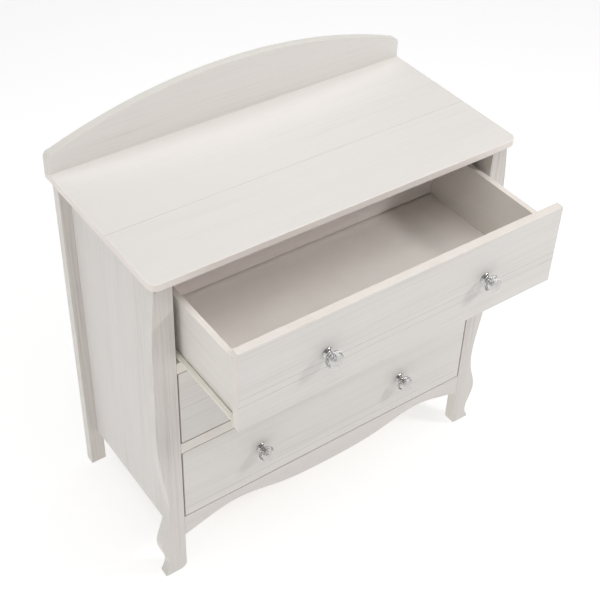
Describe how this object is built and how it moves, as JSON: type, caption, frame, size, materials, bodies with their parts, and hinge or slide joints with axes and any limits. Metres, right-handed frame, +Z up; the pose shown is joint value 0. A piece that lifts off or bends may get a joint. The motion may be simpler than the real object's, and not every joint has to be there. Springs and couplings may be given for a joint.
{
  "type": "chest of drawers",
  "caption": "White wood-effect chest with inset drawers, crystal knobs, shaped front legs, wavy apron and an arched backsplash; the drawers slide on roller runners.",
  "frame": {"origin": "on the floor on the chest's centre line, midway between the knobs of the open upper drawer and the rear faces of the rear legs", "axes": "+Z up, +Y to the back, +X to the right seen from the front"},
  "size_m": [0.8166, 0.6, 0.895],
  "materials": {
    "white_board": "satin white wood-effect foil with faint grain",
    "drawer_board": "matt white foil",
    "thin_panel": "matt white thin fibreboard",
    "white_steel": "white epoxy coat",
    "nylon": "natural nylon",
    "zinc_steel": "zinc plated",
    "crystal": "clear cut acrylic crystal",
    "chrome": "polished"
  },
  "bodies": {
    "case": {"top_board": "white_board", "backsplash": "white_board", "top_rail": "white_board", "rail_upper": "white_board", "rail_lower": "white_board", "apron": "white_board", "rear_rail": "white_board", "front_leg_left": "white_board", "rear_leg_left": "white_board", "side_panel_left": "white_board", "front_leg_right": "white_board", "rear_leg_right": "white_board", "side_panel_right": "white_board", "back_panel": "thin_panel", "cabinet_runner_upper_left": "white_steel", "cabinet_runner_upper_right": "white_steel", "cabinet_runner_middle_left": "white_steel", "cabinet_runner_middle_right": "white_steel", "cabinet_runner_lower_left": "white_steel", "cabinet_runner_lower_right": "white_steel", "cam_locks": "zinc_steel", "cam_bolts": "zinc_steel", "backsplash_screws": "zinc_steel", "runner_screws": "zinc_steel"},
    "upper_drawer": {"upper_drawer_front": "white_board", "upper_drawer_side_left": "drawer_board", "upper_drawer_side_right": "drawer_board", "upper_drawer_back": "drawer_board", "upper_drawer_bottom": "thin_panel", "upper_drawer_runner_left": "white_steel", "upper_drawer_runner_right": "white_steel", "upper_drawer_crystals": "crystal", "upper_drawer_knob_bases": "chrome", "upper_drawer_screws": "zinc_steel"},
    "upper_cabinet_rollers": {"cabinet_rollers_upper": "nylon"},
    "upper_drawer_rollers": {"upper_drawer_rollers": "nylon"},
    "middle_drawer": {"middle_drawer_front": "white_board", "middle_drawer_side_left": "drawer_board", "middle_drawer_side_right": "drawer_board", "middle_drawer_back": "drawer_board", "middle_drawer_bottom": "thin_panel", "middle_drawer_runner_left": "white_steel", "middle_drawer_runner_right": "white_steel", "middle_drawer_crystals": "crystal", "middle_drawer_knob_bases": "chrome", "middle_drawer_screws": "zinc_steel"},
    "middle_cabinet_rollers": {"cabinet_rollers_middle": "nylon"},
    "middle_drawer_rollers": {"middle_drawer_rollers": "nylon"},
    "lower_drawer": {"lower_drawer_front": "white_board", "lower_drawer_side_left": "drawer_board", "lower_drawer_side_right": "drawer_board", "lower_drawer_back": "drawer_board", "lower_drawer_bottom": "thin_panel", "lower_drawer_runner_left": "white_steel", "lower_drawer_runner_right": "white_steel", "lower_drawer_crystals": "crystal", "lower_drawer_knob_bases": "chrome", "lower_drawer_screws": "zinc_steel"},
    "lower_cabinet_rollers": {"cabinet_rollers_lower": "nylon"},
    "lower_drawer_rollers": {"lower_drawer_rollers": "nylon"}
  },
  "joints": [
    {"name": "upper_drawer_slide", "type": "slide", "parent": "case", "child": "upper_drawer", "axis": [0, -1, 0], "range_m": [-0.193, 0.047]},
    {"name": "upper_cabinet_rollers_turn", "type": "hinge", "parent": "case", "child": "upper_cabinet_rollers", "pos_m": [0, -0.041, 0.5825], "axis": [1, 0, 0], "range_deg": [-1848, 453.8]},
    {"name": "upper_drawer_rollers_turn", "type": "hinge", "parent": "upper_drawer", "child": "upper_drawer_rollers", "pos_m": [0, 0.06, 0.5825], "axis": [1, 0, 0], "range_deg": [-1848, 453.8]},
    {"name": "middle_drawer_slide", "type": "slide", "parent": "case", "child": "middle_drawer", "axis": [0, -1, 0], "range_m": [0, 0.24]},
    {"name": "middle_cabinet_rollers_turn", "type": "hinge", "parent": "case", "child": "middle_cabinet_rollers", "pos_m": [0, -0.041, 0.3755], "axis": [1, 0, 0], "range_deg": [-5, 2296.8]},
    {"name": "middle_drawer_rollers_turn", "type": "hinge", "parent": "middle_drawer", "child": "middle_drawer_rollers", "pos_m": [0, 0.253, 0.3755], "axis": [1, 0, 0], "range_deg": [-5, 2296.8]},
    {"name": "lower_drawer_slide", "type": "slide", "parent": "case", "child": "lower_drawer", "axis": [0, -1, 0], "range_m": [0, 0.24]},
    {"name": "lower_cabinet_rollers_turn", "type": "hinge", "parent": "case", "child": "lower_cabinet_rollers", "pos_m": [0, -0.041, 0.1645], "axis": [1, 0, 0], "range_deg": [-5, 2296.8]},
    {"name": "lower_drawer_rollers_turn", "type": "hinge", "parent": "lower_drawer", "child": "lower_drawer_rollers", "pos_m": [0, 0.253, 0.1645], "axis": [1, 0, 0], "range_deg": [-5, 2296.8]}
  ],
  "couplings": [
    {"joint": "upper_cabinet_rollers_turn", "follows": "upper_drawer_slide", "rad_per_m": 166.67},
    {"joint": "upper_drawer_rollers_turn", "follows": "upper_drawer_slide", "rad_per_m": 166.67},
    {"joint": "middle_cabinet_rollers_turn", "follows": "middle_drawer_slide", "rad_per_m": 166.67},
    {"joint": "middle_drawer_rollers_turn", "follows": "middle_drawer_slide", "rad_per_m": 166.67},
    {"joint": "lower_cabinet_rollers_turn", "follows": "lower_drawer_slide", "rad_per_m": 166.67},
    {"joint": "lower_drawer_rollers_turn", "follows": "lower_drawer_slide", "rad_per_m": 166.67}
  ]
}
